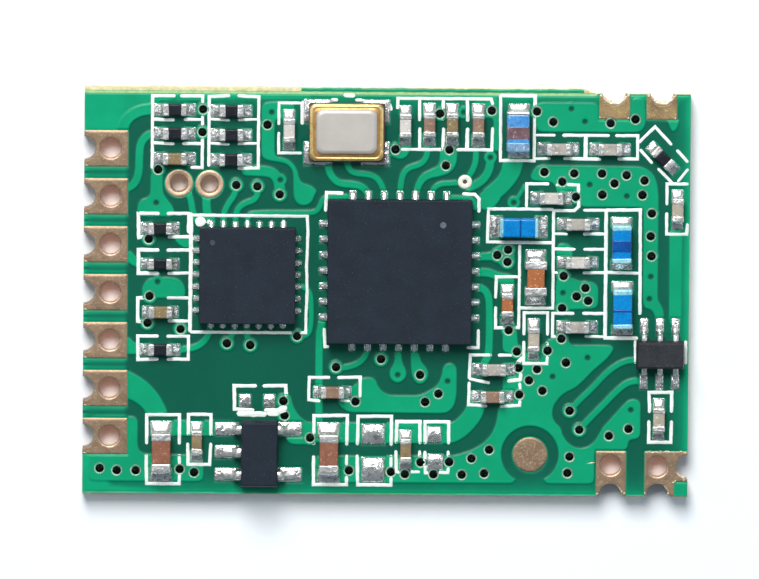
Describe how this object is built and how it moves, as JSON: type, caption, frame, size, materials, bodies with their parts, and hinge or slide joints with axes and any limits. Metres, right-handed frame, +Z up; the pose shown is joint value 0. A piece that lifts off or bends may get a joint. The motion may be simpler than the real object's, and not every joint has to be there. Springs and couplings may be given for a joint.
{
  "type": "radio module",
  "caption": "Small green circuit board radio module with half-round plated edge pads, two square chips, a crystal and chip parts.",
  "frame": {"origin": "middle of the board outline on its underside", "axes": "+Z up out of the populated face, +X along the long side away from the column of seven edge pads, +Y towards the snapped edge"},
  "size_m": [0.0252, 0.017, 0.002],
  "materials": {
    "laminate": "glass-epoxy laminate, rough where it was snapped",
    "copper": "bare copper under the mask",
    "solder_mask": "green lacquer, satin gloss",
    "legend_ink": "white printed ink",
    "plated_copper": "thin-tinned copper, satin",
    "solder": "bright reflowed solder",
    "dark_ceramic": "dark fired ceramic",
    "gold": "gold plate",
    "lid_metal": "rolled nickel alloy, satin",
    "tin": "tin plate",
    "mould_compound": "fine-grained moulding compound",
    "resistor_coat": "dark glass coat, tinned ends",
    "blue_glaze": "blue glazed ceramic, pale ends",
    "tan_ceramic": "fired ceramic, tinned ends",
    "brown_ceramic": "fired ceramic, tinned ends",
    "orange_ceramic": "fired ceramic, tinned ends",
    "grey_ceramic": "fired ceramic, tinned ends"
  },
  "bodies": {
    "root": {"board_substrate": "laminate", "copper_top": "copper", "copper_bottom": "copper", "solder_mask_top": "solder_mask", "solder_mask_bottom": "solder_mask", "legend_print": "legend_ink", "edge_pads": "plated_copper", "plated_holes": "plated_copper", "plated_vias": "plated_copper", "test_pads": "plated_copper", "solder_joints": "solder", "crystal_base": "dark_ceramic", "crystal_seal_ring": "gold", "crystal_lid": "lid_metal", "radio_chip_body": "mould_compound", "radio_chip_terminals": "tin", "controller_body": "mould_compound", "controller_terminals": "tin", "switch_chip_body": "mould_compound", "switch_chip_leads": "tin", "regulator_body": "mould_compound", "regulator_leads": "tin", "resistor_1": "resistor_coat", "resistor_2": "resistor_coat", "resistor_3": "resistor_coat", "resistor_4": "resistor_coat", "resistor_5": "resistor_coat", "resistor_6": "resistor_coat", "resistor_7": "resistor_coat", "resistor_8": "resistor_coat", "resistor_9": "resistor_coat", "capacitor_1": "tan_ceramic", "capacitor_2": "grey_ceramic", "capacitor_3": "grey_ceramic", "capacitor_4": "brown_ceramic", "capacitor_5": "tan_ceramic", "capacitor_6": "brown_ceramic", "capacitor_7": "grey_ceramic", "capacitor_8": "grey_ceramic", "capacitor_9": "grey_ceramic", "capacitor_10": "grey_ceramic", "capacitor_11": "grey_ceramic", "capacitor_12": "grey_ceramic", "capacitor_13": "orange_ceramic", "capacitor_14": "orange_ceramic", "capacitor_15": "grey_ceramic", "capacitor_16": "grey_ceramic", "capacitor_17": "grey_ceramic", "capacitor_18": "brown_ceramic", "capacitor_19": "brown_ceramic", "capacitor_20": "tan_ceramic", "capacitor_21": "brown_ceramic", "capacitor_22": "tan_ceramic", "capacitor_23": "brown_ceramic", "capacitor_24": "tan_ceramic", "capacitor_25": "grey_ceramic", "inductor_1": "blue_glaze", "inductor_2": "blue_glaze", "inductor_3": "blue_glaze", "inductor_4": "blue_glaze"}
  },
  "joints": []
}
